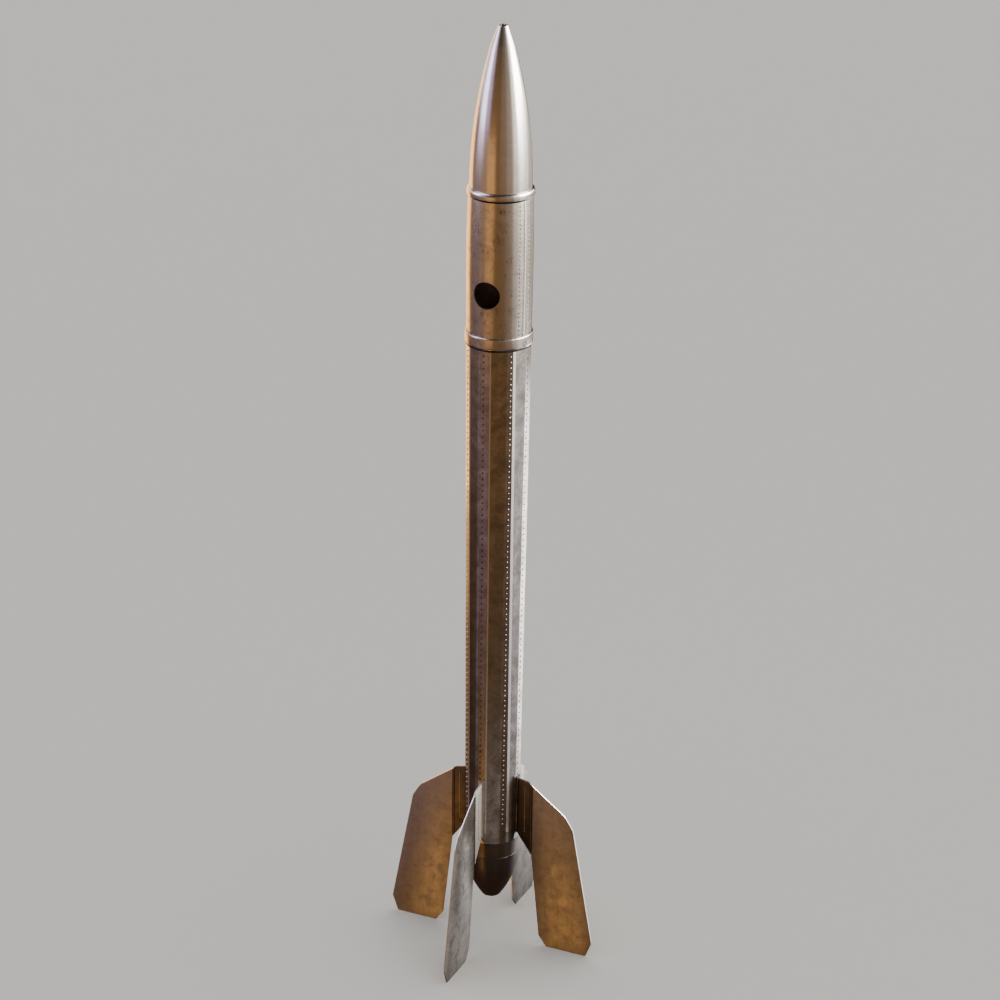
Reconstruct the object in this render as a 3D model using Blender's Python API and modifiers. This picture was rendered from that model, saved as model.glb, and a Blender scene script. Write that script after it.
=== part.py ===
"""Riveted sheet-metal sounding rocket standing on its four fins.

Metres, +Z up. The origin is on the rocket's axis, level with the fins' feet.
The front fin points along -Y, the right fin along +X.
"""
import math

import bmesh
import bpy
from mathutils import Matrix, Vector

# Heights above the fins' feet
NOSE_TOP_Z = 3.3490
NOSE_TIP_Z = 3.2870
NOSE_BASE_Z = 2.8175
RING_SHOULDER_Z = 2.8060
RING_BOTTOM_Z = 2.7935
BAY_TOP_Z = 2.7890
SPIGOT_BOTTOM_Z = 2.7500
BAY_BELLY_Z = 2.6000
PORTHOLE_Z = 2.4720
COLLAR_TOP_Z = 2.3250
JOINT_Z = 2.3000
COLLAR_BOTTOM_Z = 2.2850
MOTOR_TOP_Z = 0.5010
BODY_BOTTOM_Z = 0.4203
TAIL_BAND_BOTTOM_Z = 0.3593
THROAT_Z = 0.2610
TAIL_END_Z = 0.1710

# Radii
NOSE_BASE_R = 0.1035
NOSE_HOLE_R = 0.0100
RING_R = 0.1122
BAY_TOP_R = 0.1071
BAY_BELLY_R = 0.1109
BAY_BOTTOM_R = 0.1087
COLLAR_R = 0.1143
COLLAR_EDGE_R = 0.1139
BODY_TOP_R = 0.1108
BODY_BOTTOM_R = 0.0967
TAIL_R = 0.0940
PORTHOLE_R = 0.0470
THROAT_R = 0.0140
MOTOR_R = 0.0560

# Sheet and clearances
SHEET = 0.0016
CAST_WALL = 0.0030
GAP = 0.0003
SLIDE_GAP = 0.0006
LAP = 0.0016
CROWN = 0.0010
TURN_STEPS = 48

# The nose is a parabola of revolution, cut off short of its point and drawn in at the tip
NOSE_FOCUS_LENGTH = 0.5940
NOSE_TIP_DRAW = 0.0800
NOSE_END_ROUND = 0.0030
# The tail cone's bulge: how fast it closes below the band
TAIL_CURVE_LENGTH = 0.2280
TAIL_CURVE_POWER = 2.2

# The body's section: eight broad flats, each folded into a narrow riveted lap that rises to
# a crest and falls to its free edge on the next flat
PANEL_COUNT = 8
PANEL_STEP = math.radians(45.0)
LAP_HALF_ANGLE = math.radians(8.5)
LAP_EDGE_ANGLE = math.radians(12.5)

# Bay seam and collar screws, measured round from the front fin
BAY_SEAM_ANGLE = math.radians(72.5)
SEAM_WIDTH = 0.0060
SEAM_HEIGHT = 0.0012
SCREW_ANGLES = {"collar_screw_right": math.radians(73.4), "collar_screw_left": math.radians(253.4)}
SCREW_Z = 2.2985
SCREW_R = 0.0040
SCREW_HEIGHT = 0.0016

# Fins: (distance from the axis, height, corner radius) round the blade's edge
FIN_SEAM_R = 0.1545
FIN_THICKNESS = 0.0050
BLADE_OUTLINE = (
    (FIN_SEAM_R + GAP, 0.6400, 0.000),
    (0.2835, 0.5460, 0.045),
    (0.3140, 0.4970, 0.045),
    (0.3960, 0.0590, 0.012),
    (0.3740, 0.0000, 0.008),
    (0.2205, 0.0000, 0.004),
    (0.1898, 0.0390, 0.008),
    (FIN_SEAM_R + GAP, 0.3635, 0.000),
)
BRACKET_THICKNESS = 0.0090
BRACKET_TOP_Z = 0.6600
BRACKET_SEAM_TOP_Z = 0.6440
BRACKET_FOOT_Z = 0.4435
BRACKET_NOTCH = (0.1200, 0.4110)
BRACKET_SEAM_FOOT_Z = 0.3635
HEM_WIDTH = 0.0060
HEM_THICKNESS = 0.0110
FLANGE_WIDTH = 0.0240
FLANGE_THICKNESS = 0.0016
FIN_ANGLES = {"front": -90.0, "right": 0.0, "rear": 90.0, "left": 180.0}

# Colours as linear RGB, with metallic and roughness
FINISHES = {
    "worn_sheet": ((0.52, 0.50, 0.48), 1.0, 0.38),
    "fin_sheet": ((0.46, 0.44, 0.42), 1.0, 0.45),
    "dark_metal": ((0.05, 0.045, 0.04), 1.0, 0.55),
    "screw_steel": ((0.35, 0.34, 0.33), 1.0, 0.35),
}


def clear_scene():
    """Start from an empty scene."""
    for old in list(bpy.data.objects):
        bpy.data.objects.remove(old, do_unlink=True)


def new_collection(name):
    """A collection linked to the scene."""
    collection = bpy.data.collections.new(name)
    bpy.context.scene.collection.children.link(collection)
    return collection


def add_material(obj, finish):
    """Give the object a Principled material of its own."""
    colour, metallic, roughness = FINISHES[finish]
    material = bpy.data.materials.new(obj.name + "_" + finish)
    material.use_nodes = True
    shader = material.node_tree.nodes["Principled BSDF"]
    shader.inputs["Base Color"].default_value = (*colour, 1.0)
    shader.inputs["Metallic"].default_value = metallic
    shader.inputs["Roughness"].default_value = roughness
    obj.data.materials.clear()
    obj.data.materials.append(material)


def place(name, mesh, finish, angle=0.0):
    """A named piece in the rocket's collection, turned about the axis."""
    obj = bpy.data.objects.new(name, mesh)
    obj.rotation_euler.z = angle
    ROCKET.objects.link(obj)
    add_material(obj, finish)
    return obj


def guide(name, mesh):
    """A hidden shape that another piece is cut or joined with."""
    obj = bpy.data.objects.new(name, mesh)
    obj.hide_render = True
    obj.display_type = "WIRE"
    CUTTERS.objects.link(obj)
    return obj


def boolean(obj, operation, other):
    """Cut or join obj with a guide shape."""
    modifier = obj.modifiers.new(operation.lower() + "_" + other.name, "BOOLEAN")
    modifier.operation = operation
    modifier.solver = "EXACT"
    modifier.object = other


def turned(name, profile, finish, closed=True):
    """A shape turned about the axis; the profile runs down its outer side first."""
    mesh = bpy.data.meshes.new(name)
    verts = [(radius, 0.0, height) for radius, height in profile]
    edges = [(i, i + 1) for i in range(len(verts) - 1)]
    if closed:
        edges.append((len(verts) - 1, 0))
    mesh.from_pydata(verts, edges, [])
    obj = place(name, mesh, finish)
    screw = obj.modifiers.new("turn", "SCREW")
    screw.axis = "Z"
    screw.angle = math.tau
    screw.steps = TURN_STEPS
    screw.render_steps = TURN_STEPS
    screw.use_merge_vertices = True
    screw.merge_threshold = 0.00001
    screw.use_normal_calculate = False
    screw.use_smooth_shade = True
    return obj


def rounded(outline, arc_steps=4):
    """Replace each corner of an (x, y, radius) outline by an arc."""
    points = []
    count = len(outline)
    for i, (x, y, radius) in enumerate(outline):
        corner = Vector((x, y))
        before = (Vector(outline[i - 1][:2]) - corner).normalized()
        after = (Vector(outline[(i + 1) % count][:2]) - corner).normalized()
        if radius == 0.0:
            points.append(corner)
            continue
        half = before.angle(after) / 2.0
        reach = radius / math.tan(half)
        centre = corner + (before + after).normalized() * radius / math.sin(half)
        start = corner + before * reach - centre
        sweep = math.pi - 2.0 * half
        turn = 1.0 if before.cross(after) < 0.0 else -1.0
        for step in range(arc_steps + 1):
            spin = Matrix.Rotation(turn * sweep * step / arc_steps, 2)
            points.append(centre + spin @ start)
    return points


def plate_mesh(name, points, thickness):
    """A flat plate from an outline of (distance from axis, height), standing on edge."""
    curve = bpy.data.curves.new(name + "_outline", "CURVE")
    curve.dimensions = "2D"
    curve.fill_mode = "BOTH"
    curve.extrude = thickness / 2.0
    spline = curve.splines.new("POLY")
    spline.points.add(len(points) - 1)
    for target, point in zip(spline.points, points):
        target.co = (point[0], point[1], 0.0, 1.0)
    spline.use_cyclic_u = True
    outline = bpy.data.objects.new(name + "_outline", curve)
    CUTTERS.objects.link(outline)
    depsgraph = bpy.context.evaluated_depsgraph_get()
    mesh = bpy.data.meshes.new_from_object(outline.evaluated_get(depsgraph))
    bpy.data.objects.remove(outline, do_unlink=True)
    work = bmesh.new()
    work.from_mesh(mesh)
    bmesh.ops.remove_doubles(work, verts=work.verts, dist=0.00001)
    bmesh.ops.rotate(work, verts=work.verts, matrix=Matrix.Rotation(math.radians(90.0), 3, "X"))
    bmesh.ops.recalc_face_normals(work, faces=work.faces)
    work.to_mesh(mesh)
    work.free()
    mesh.name = name
    mesh.materials.clear()
    return mesh


def nose_radius(height):
    """Outer radius of the nose at a height."""
    share = (height - NOSE_BASE_Z) / NOSE_FOCUS_LENGTH
    drawn = NOSE_TIP_DRAW * max(0.0, height - NOSE_TIP_Z)
    return NOSE_BASE_R * (1.0 - share * share) - drawn


def bay_radius(height):
    """Outer radius of the barrel-shaped bay: a parabola on each side of its belly."""
    if height > BAY_BELLY_Z:
        share = (height - BAY_BELLY_Z) / (BAY_TOP_Z - BAY_BELLY_Z)
        return BAY_BELLY_R + (BAY_TOP_R - BAY_BELLY_R) * share ** 2
    share = (BAY_BELLY_Z - height) / (BAY_BELLY_Z - JOINT_Z)
    return BAY_BELLY_R + (BAY_BOTTOM_R - BAY_BELLY_R) * share ** 2


def tail_radius(height):
    """Outer radius of the rounded tail cone below the band."""
    share = (TAIL_BAND_BOTTOM_Z - height) / TAIL_CURVE_LENGTH
    return TAIL_R * (1.0 - share ** TAIL_CURVE_POWER)


def body_radius(height):
    """Corner radius of the tapered sixteen-sided body."""
    share = (height - BODY_BOTTOM_Z) / (JOINT_Z - GAP - BODY_BOTTOM_Z)
    return BODY_BOTTOM_R + (BODY_TOP_R - BODY_BOTTOM_R) * share


def inside_flats(corner):
    """Radius of a ring that fits inside the body's flats, whose corners lie on a radius."""
    half_flat = (PANEL_STEP - LAP_HALF_ANGLE - LAP_EDGE_ANGLE) / 2.0
    return (corner - SHEET) * math.cos(half_flat) - SLIDE_GAP


def span(start, end, count):
    """Evenly spaced values from start to end."""
    return [start + (end - start) * i / (count - 1) for i in range(count)]


def shell_profile(radius_at, top, bottom, count, wall):
    """Closed section of a turned shell: down the outside, then up the inside."""
    outer = [(radius_at(z), z) for z in span(top, bottom, count)]
    inner = [(radius_at(z) - wall, z) for z in span(bottom, top, count)]
    return outer + inner


def build_nose():
    """Hollow nose with its bead, its spigot and the plug in its blunt end."""
    shoulder_z = NOSE_TOP_Z - NOSE_END_ROUND
    end_r = nose_radius(shoulder_z) - NOSE_END_ROUND
    cone_foot_z = RING_BOTTOM_Z + GAP
    outer = []
    for degrees in (90.0, 60.0, 30.0):
        angle = math.radians(degrees)
        outer.append((end_r + NOSE_END_ROUND * math.cos(angle), shoulder_z + NOSE_END_ROUND * math.sin(angle)))
    outer += [(nose_radius(z), z) for z in span(shoulder_z, NOSE_TIP_Z, 3)]
    outer += [(nose_radius(z), z) for z in span(NOSE_TIP_Z, NOSE_BASE_Z, 13)[1:]]
    outer.append((NOSE_BASE_R, cone_foot_z))
    hole_foot_z = NOSE_TIP_Z
    inner = [(NOSE_BASE_R - SHEET, cone_foot_z)]
    inner += [(nose_radius(z) - SHEET, z) for z in span(NOSE_BASE_Z, hole_foot_z, 9)]
    inner += [(NOSE_HOLE_R, hole_foot_z), (NOSE_HOLE_R, NOSE_TOP_Z)]
    turned("nose_cone", outer + inner, "worn_sheet")

    plug_r = NOSE_HOLE_R - GAP
    plug_top = NOSE_TOP_Z - 0.0020
    plug = [(0.0, plug_top), (plug_r, plug_top), (plug_r, hole_foot_z), (0.0, hole_foot_z)]
    turned("nose_plug", plug, "dark_metal", closed=False)

    bead_foot_r = NOSE_BASE_R + GAP
    bead = []
    for degrees in (90.0, 67.5, 45.0, 22.5, 0.0):
        angle = math.radians(degrees)
        reach = (RING_R - bead_foot_r) * math.cos(angle)
        bead.append((bead_foot_r + reach, RING_SHOULDER_Z + (NOSE_BASE_Z - RING_SHOULDER_Z) * math.sin(angle)))
    bead += [(RING_R, RING_BOTTOM_Z + 0.0015), (RING_R - 0.0010, RING_BOTTOM_Z), (bead_foot_r, RING_BOTTOM_Z)]
    turned("nose_ring", bead, "worn_sheet")

    neck_r = NOSE_BASE_R - SHEET - GAP
    shoulder_r = BAY_TOP_R - 0.0011
    skirt_r = BAY_TOP_R - SHEET - SLIDE_GAP
    spigot = [
        (neck_r, NOSE_BASE_Z),
        (neck_r, RING_BOTTOM_Z - GAP),
        (shoulder_r, RING_BOTTOM_Z - GAP),
        (shoulder_r, BAY_TOP_Z + GAP),
        (skirt_r, BAY_TOP_Z + GAP),
        (skirt_r, SPIGOT_BOTTOM_Z),
        (neck_r - SHEET, SPIGOT_BOTTOM_Z),
        (neck_r - SHEET, NOSE_BASE_Z),
    ]
    turned("nose_spigot", spigot, "worn_sheet")


def build_bay():
    """Barrel-shaped instrument bay with a round porthole, its seam and its floor."""
    bay_foot_z = JOINT_Z + GAP
    shell = turned("bay_shell", shell_profile(bay_radius, BAY_TOP_Z, bay_foot_z, 9, SHEET), "worn_sheet")
    cutter_length = 0.1000
    cut = bpy.data.meshes.new("porthole_cut")
    work = bmesh.new()
    bmesh.ops.create_cone(
        work, cap_ends=True, segments=32, radius1=PORTHOLE_R, radius2=PORTHOLE_R, depth=cutter_length
    )
    work.to_mesh(cut)
    work.free()
    cutter = guide("porthole_cut", cut)
    cutter.rotation_euler.x = math.radians(90.0)
    cutter.location = (0.0, -BAY_BELLY_R, PORTHOLE_Z)
    boolean(shell, "DIFFERENCE", cutter)

    heights = span(BAY_TOP_Z - 0.0020, COLLAR_TOP_Z + 0.0010, 9)
    strip = [(bay_radius(z) + GAP + SEAM_HEIGHT, z) for z in heights]
    strip += [(bay_radius(z) + GAP, z) for z in reversed(heights)]
    seam = plate_mesh("bay_seam", strip, SEAM_WIDTH)
    place("bay_seam", seam, "worn_sheet", BAY_SEAM_ANGLE - math.radians(90.0))

    floor_r = BAY_BOTTOM_R - SHEET - GAP
    floor_top_z = JOINT_Z + 0.0060
    floor_under_z = JOINT_Z - 0.0020
    lip_r = inside_flats(BODY_TOP_R)
    lip_foot_z = JOINT_Z - 0.0300
    floor = [
        (0.0, floor_top_z),
        (floor_r, floor_top_z),
        (floor_r, JOINT_Z),
        (lip_r, JOINT_Z),
        (lip_r, lip_foot_z),
        (lip_r - CAST_WALL, lip_foot_z),
        (lip_r - CAST_WALL, floor_under_z),
        (0.0, floor_under_z),
    ]
    turned("bay_floor", floor, "worn_sheet", closed=False)


def build_collar():
    """Sleeve that joins the bay to the body, with a screw on each side."""
    bay_grip_r = BAY_BOTTOM_R + 0.0016
    body_grip_r = BODY_TOP_R + LAP + SLIDE_GAP
    collar = [
        (bay_grip_r, COLLAR_TOP_Z),
        (COLLAR_R - 0.0030, COLLAR_TOP_Z - 0.0010),
        (COLLAR_R - 0.0008, COLLAR_TOP_Z - 0.0040),
        (COLLAR_R, COLLAR_TOP_Z - 0.0080),
        (COLLAR_R, COLLAR_BOTTOM_Z + 0.0060),
        (COLLAR_EDGE_R, COLLAR_BOTTOM_Z),
        (body_grip_r, COLLAR_BOTTOM_Z),
        (body_grip_r, JOINT_Z),
        (bay_grip_r - SLIDE_GAP, JOINT_Z),
    ]
    turned("joint_collar", collar, "worn_sheet")
    for name, angle in SCREW_ANGLES.items():
        bpy.ops.mesh.primitive_cylinder_add(vertices=16, radius=SCREW_R, depth=SCREW_HEIGHT)
        screw = bpy.context.object
        screw.name = name
        for collection in list(screw.users_collection):
            collection.objects.unlink(screw)
        ROCKET.objects.link(screw)
        reach = COLLAR_R + SCREW_HEIGHT / 2.0
        screw.location = (math.sin(angle) * reach, -math.cos(angle) * reach, SCREW_Z)
        screw.rotation_euler = (math.radians(90.0), 0.0, angle)
        add_material(screw, "screw_steel")


def panel_mesh():
    """One broad flat folded into a narrow lap, tapering from bottom to top."""
    start = LAP_EDGE_ANGLE - PANEL_STEP + math.asin(GAP / BODY_BOTTOM_R)
    middle = (LAP_EDGE_ANGLE - PANEL_STEP - LAP_HALF_ANGLE) / 2.0
    middle_r = BODY_BOTTOM_R * math.cos(middle + LAP_HALF_ANGLE) + CROWN
    outer = [
        (start, BODY_BOTTOM_R),
        (middle, middle_r),
        (-LAP_HALF_ANGLE, BODY_BOTTOM_R),
        (LAP_HALF_ANGLE, BODY_BOTTOM_R + LAP),
        (LAP_EDGE_ANGLE, BODY_BOTTOM_R),
    ]
    ring = outer + [(angle, radius - SHEET) for angle, radius in reversed(outer)]
    work = bmesh.new()
    verts = [work.verts.new((r * math.cos(a), r * math.sin(a), BODY_BOTTOM_Z)) for a, r in ring]
    face = work.faces.new(verts)
    lift = bmesh.ops.extrude_face_region(work, geom=[face])
    top = [item for item in lift["geom"] if isinstance(item, bmesh.types.BMVert)]
    height = JOINT_Z - GAP - BODY_BOTTOM_Z
    taper = BODY_TOP_R / BODY_BOTTOM_R
    bmesh.ops.translate(work, verts=top, vec=(0.0, 0.0, height))
    bmesh.ops.scale(work, verts=top, vec=(taper, taper, 1.0))
    bmesh.ops.recalc_face_normals(work, faces=work.faces)
    mesh = bpy.data.meshes.new("body_panel")
    work.to_mesh(mesh)
    work.free()
    return mesh


def build_body():
    """Eight lapped panels, the lap of panel 0 lying behind the front fin."""
    mesh = panel_mesh()
    for index in range(PANEL_COUNT):
        angle = math.radians(-90.0) + index * PANEL_STEP
        place("body_panel_%d" % index, mesh.copy(), "worn_sheet", angle)


def build_tail():
    """Band, rounded tail cone, nozzle and the motor above it."""
    band_top_z = BODY_BOTTOM_Z - GAP
    spigot_top_z = band_top_z + 0.0200
    lip_r = inside_flats(BODY_BOTTOM_R)
    band = [
        (lip_r, spigot_top_z),
        (lip_r, band_top_z),
        (TAIL_R + 0.0010, band_top_z),
        (TAIL_R, TAIL_BAND_BOTTOM_Z + GAP),
        (lip_r - CAST_WALL, TAIL_BAND_BOTTOM_Z + GAP),
        (lip_r - CAST_WALL, spigot_top_z),
    ]
    turned("tail_band", band, "worn_sheet")
    cone = shell_profile(tail_radius, TAIL_BAND_BOTTOM_Z, TAIL_END_Z, 11, CAST_WALL)
    turned("tail_cone", cone, "dark_metal")

    exit_r = tail_radius(TAIL_END_Z) - 1.5 * CAST_WALL
    neck_z = THROAT_Z - 0.0300
    nozzle = [
        (THROAT_R + 4.0 * CAST_WALL, THROAT_Z),
        (THROAT_R + CAST_WALL, neck_z),
        (exit_r, TAIL_END_Z),
        (exit_r - CAST_WALL, TAIL_END_Z),
        (THROAT_R, neck_z),
        (THROAT_R + 0.0020, THROAT_Z),
    ]
    turned("nozzle", nozzle, "dark_metal")
    flange_r = tail_radius(THROAT_Z + GAP) - CAST_WALL - SLIDE_GAP
    flange_top_z = THROAT_Z + 0.0200
    motor = [
        (0.0, MOTOR_TOP_Z),
        (MOTOR_R, MOTOR_TOP_Z),
        (MOTOR_R, flange_top_z),
        (flange_r, flange_top_z),
        (flange_r, THROAT_Z + GAP),
        (0.0, THROAT_Z + GAP),
    ]
    turned("motor", motor, "dark_metal", closed=False)


def build_fins():
    """Four flat blades, each held by a riveted bracket on a lap of the body."""
    blade = plate_mesh("fin_blade", rounded(BLADE_OUTLINE), FIN_THICKNESS)
    root_scale = math.cos(LAP_HALF_ANGLE)

    def seat(height):
        """Distance from the axis of the bracket's foot at a height."""
        return (body_radius(height) + LAP) * root_scale + GAP

    web_outline = (
        (seat(BRACKET_TOP_Z), BRACKET_TOP_Z, 0.0),
        (FIN_SEAM_R - 0.0080, BRACKET_SEAM_TOP_Z + 0.0060, 0.020),
        (FIN_SEAM_R, BRACKET_SEAM_TOP_Z - 0.0030, 0.0),
        (FIN_SEAM_R, BRACKET_SEAM_FOOT_Z, 0.0),
        (*BRACKET_NOTCH, 0.0),
        (seat(BRACKET_FOOT_Z), BRACKET_FOOT_Z, 0.0),
    )
    web = plate_mesh("fin_bracket", rounded(web_outline), BRACKET_THICKNESS)
    flange_top = BRACKET_TOP_Z + 0.0080
    flange = (
        (seat(flange_top), flange_top),
        (seat(flange_top) + FLANGE_THICKNESS, flange_top),
        (seat(BRACKET_FOOT_Z) + FLANGE_THICKNESS, BRACKET_FOOT_Z),
        (seat(BRACKET_FOOT_Z), BRACKET_FOOT_Z),
    )
    hem = (
        (FIN_SEAM_R - HEM_WIDTH, BRACKET_SEAM_TOP_Z - 0.0080),
        (FIN_SEAM_R, BRACKET_SEAM_TOP_Z - 0.0080),
        (FIN_SEAM_R, BRACKET_SEAM_FOOT_Z + 0.0020),
        (FIN_SEAM_R - HEM_WIDTH, BRACKET_SEAM_FOOT_Z + 0.0100),
    )
    flange_mesh = plate_mesh("fin_flange", flange, FLANGE_WIDTH)
    hem_mesh = plate_mesh("fin_hem", hem, HEM_THICKNESS)
    for side, degrees in FIN_ANGLES.items():
        angle = math.radians(degrees)
        place("fin_blade_" + side, blade.copy(), "fin_sheet", angle)
        bracket = place("fin_bracket_" + side, web.copy(), "worn_sheet", angle)
        for label, mesh in (("flange_", flange_mesh), ("hem_", hem_mesh)):
            part = guide(label + side, mesh.copy())
            part.rotation_euler.z = angle
            boolean(bracket, "UNION", part)


clear_scene()
ROCKET = new_collection("space_rocket")
CUTTERS = new_collection("cutters")
build_nose()
build_bay()
build_collar()
build_body()
build_tail()
build_fins()
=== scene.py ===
"""Riveted sheet-metal sounding rocket: the finish of every surface, in the order it is put together."""
import math

import bmesh
import bpy
from mathutils import Matrix, Vector, noise


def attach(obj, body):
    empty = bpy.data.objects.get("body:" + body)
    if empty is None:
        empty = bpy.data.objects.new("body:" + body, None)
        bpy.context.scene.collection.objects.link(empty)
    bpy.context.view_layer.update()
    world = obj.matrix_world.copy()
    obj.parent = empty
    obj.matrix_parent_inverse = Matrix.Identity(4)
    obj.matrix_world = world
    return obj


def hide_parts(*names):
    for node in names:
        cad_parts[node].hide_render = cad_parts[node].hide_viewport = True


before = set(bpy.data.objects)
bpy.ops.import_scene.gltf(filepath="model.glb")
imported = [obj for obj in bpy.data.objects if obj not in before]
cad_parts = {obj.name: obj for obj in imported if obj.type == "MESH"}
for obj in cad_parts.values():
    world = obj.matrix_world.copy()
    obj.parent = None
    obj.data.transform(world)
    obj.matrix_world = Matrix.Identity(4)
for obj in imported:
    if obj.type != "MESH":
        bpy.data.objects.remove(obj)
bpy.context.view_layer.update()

# View. The camera stands 9 m off, to the right of the front fin, well above the bay,
# and looks down at the rocket's middle through a long lens.
CAMERA_AZIMUTH = math.radians(24.10)
CAMERA_DISTANCE = 8.952
CAMERA_HEIGHT = 5.470
CAMERA_PITCH = math.radians(22.80)
CAMERA_YAW = math.radians(0.074)
CAMERA_ROLL = math.radians(0.830)


def from_front(angle):
    """Unit vector in plan, turned from the front fin towards the right one."""
    return Vector((math.sin(angle), -math.cos(angle), 0.0))


camera_data = bpy.data.cameras.new("camera")
camera_data.lens = 102.6
camera_data.sensor_width = 36.0
camera = bpy.data.objects.new("camera", camera_data)
bpy.context.scene.collection.objects.link(camera)
heading = CAMERA_YAW - CAMERA_AZIMUTH
forward = Vector((
    math.sin(heading) * math.cos(CAMERA_PITCH),
    math.cos(heading) * math.cos(CAMERA_PITCH),
    -math.sin(CAMERA_PITCH),
))
level_right = forward.cross(Vector((0.0, 0.0, 1.0))).normalized()
level_up = level_right.cross(forward)
right = level_right * math.cos(CAMERA_ROLL) + level_up * math.sin(CAMERA_ROLL)
up = level_up * math.cos(CAMERA_ROLL) - level_right * math.sin(CAMERA_ROLL)
turn = Matrix((right, up, -forward)).transposed()
place = from_front(CAMERA_AZIMUTH) * CAMERA_DISTANCE
camera.matrix_world = Matrix.Translation((place.x, place.y, CAMERA_HEIGHT)) @ turn.to_4x4()
bpy.context.scene.camera = camera


# Studio. A pale floor swept up into a round backdrop, lit from overhead, and tall soft
# boxes out of the view, which draw the light and dark bands down the bare metal. The metal
# does not see the floor, which keeps its shaded bands dark.
def linear(code):
    """sRGB hex to linear RGBA."""
    values = [int(code[i:i + 2], 16) / 255.0 for i in (1, 3, 5)]
    return tuple(v / 12.92 if v <= 0.04045 else ((v + 0.055) / 1.055) ** 2.4 for v in values) + (1.0,)


def grey(value):
    """A grey for a ramp."""
    return (value, value, value, 1.0)


def node(tree, kind, settings=None, **links):
    """Add a shader node: settings go to its properties, stops to its colour ramp, links to its inputs."""
    made = tree.nodes.new(kind)
    settings = dict(settings or {})
    for i, (spot, colour) in enumerate(settings.pop("stops", ())):
        bands = made.color_ramp.elements
        band = bands[i] if i < 2 else bands.new(spot)
        band.position = spot
        band.color = colour
    for key, value in settings.items():
        setattr(made, key, value)
    for key, value in links.items():
        name = int(key[1:]) if key[0] == "i" and key[1:].isdigit() else key.replace("_", " ")
        if isinstance(value, bpy.types.NodeSocket):
            tree.links.new(value, made.inputs[name])
        else:
            made.inputs[name].default_value = value
    return made


def soft_box(name, azimuths, distance, heights, radiance, code):
    """An area light facing the rocket's axis between two azimuths and two heights."""
    middle = math.radians(sum(azimuths) / 2.0)
    half = math.radians(azimuths[1] - azimuths[0]) / 2.0
    light = bpy.data.lights.new(name, "AREA")
    light.shape = "RECTANGLE"
    light.size = 2.0 * distance * math.tan(half)
    light.size_y = heights[1] - heights[0]
    light.energy = radiance * math.pi * light.size * light.size_y
    light.color = linear(code)[:3]
    lamp = bpy.data.objects.new(name, light)
    spot = from_front(middle) * distance
    lamp.location = (spot.x, spot.y, sum(heights) / 2.0)
    lamp.rotation_euler = (-spot).to_track_quat("-Z", "Y").to_euler()
    lamp.visible_camera = False
    lamp.visible_diffuse = False
    bpy.context.scene.collection.objects.link(lamp)


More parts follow.
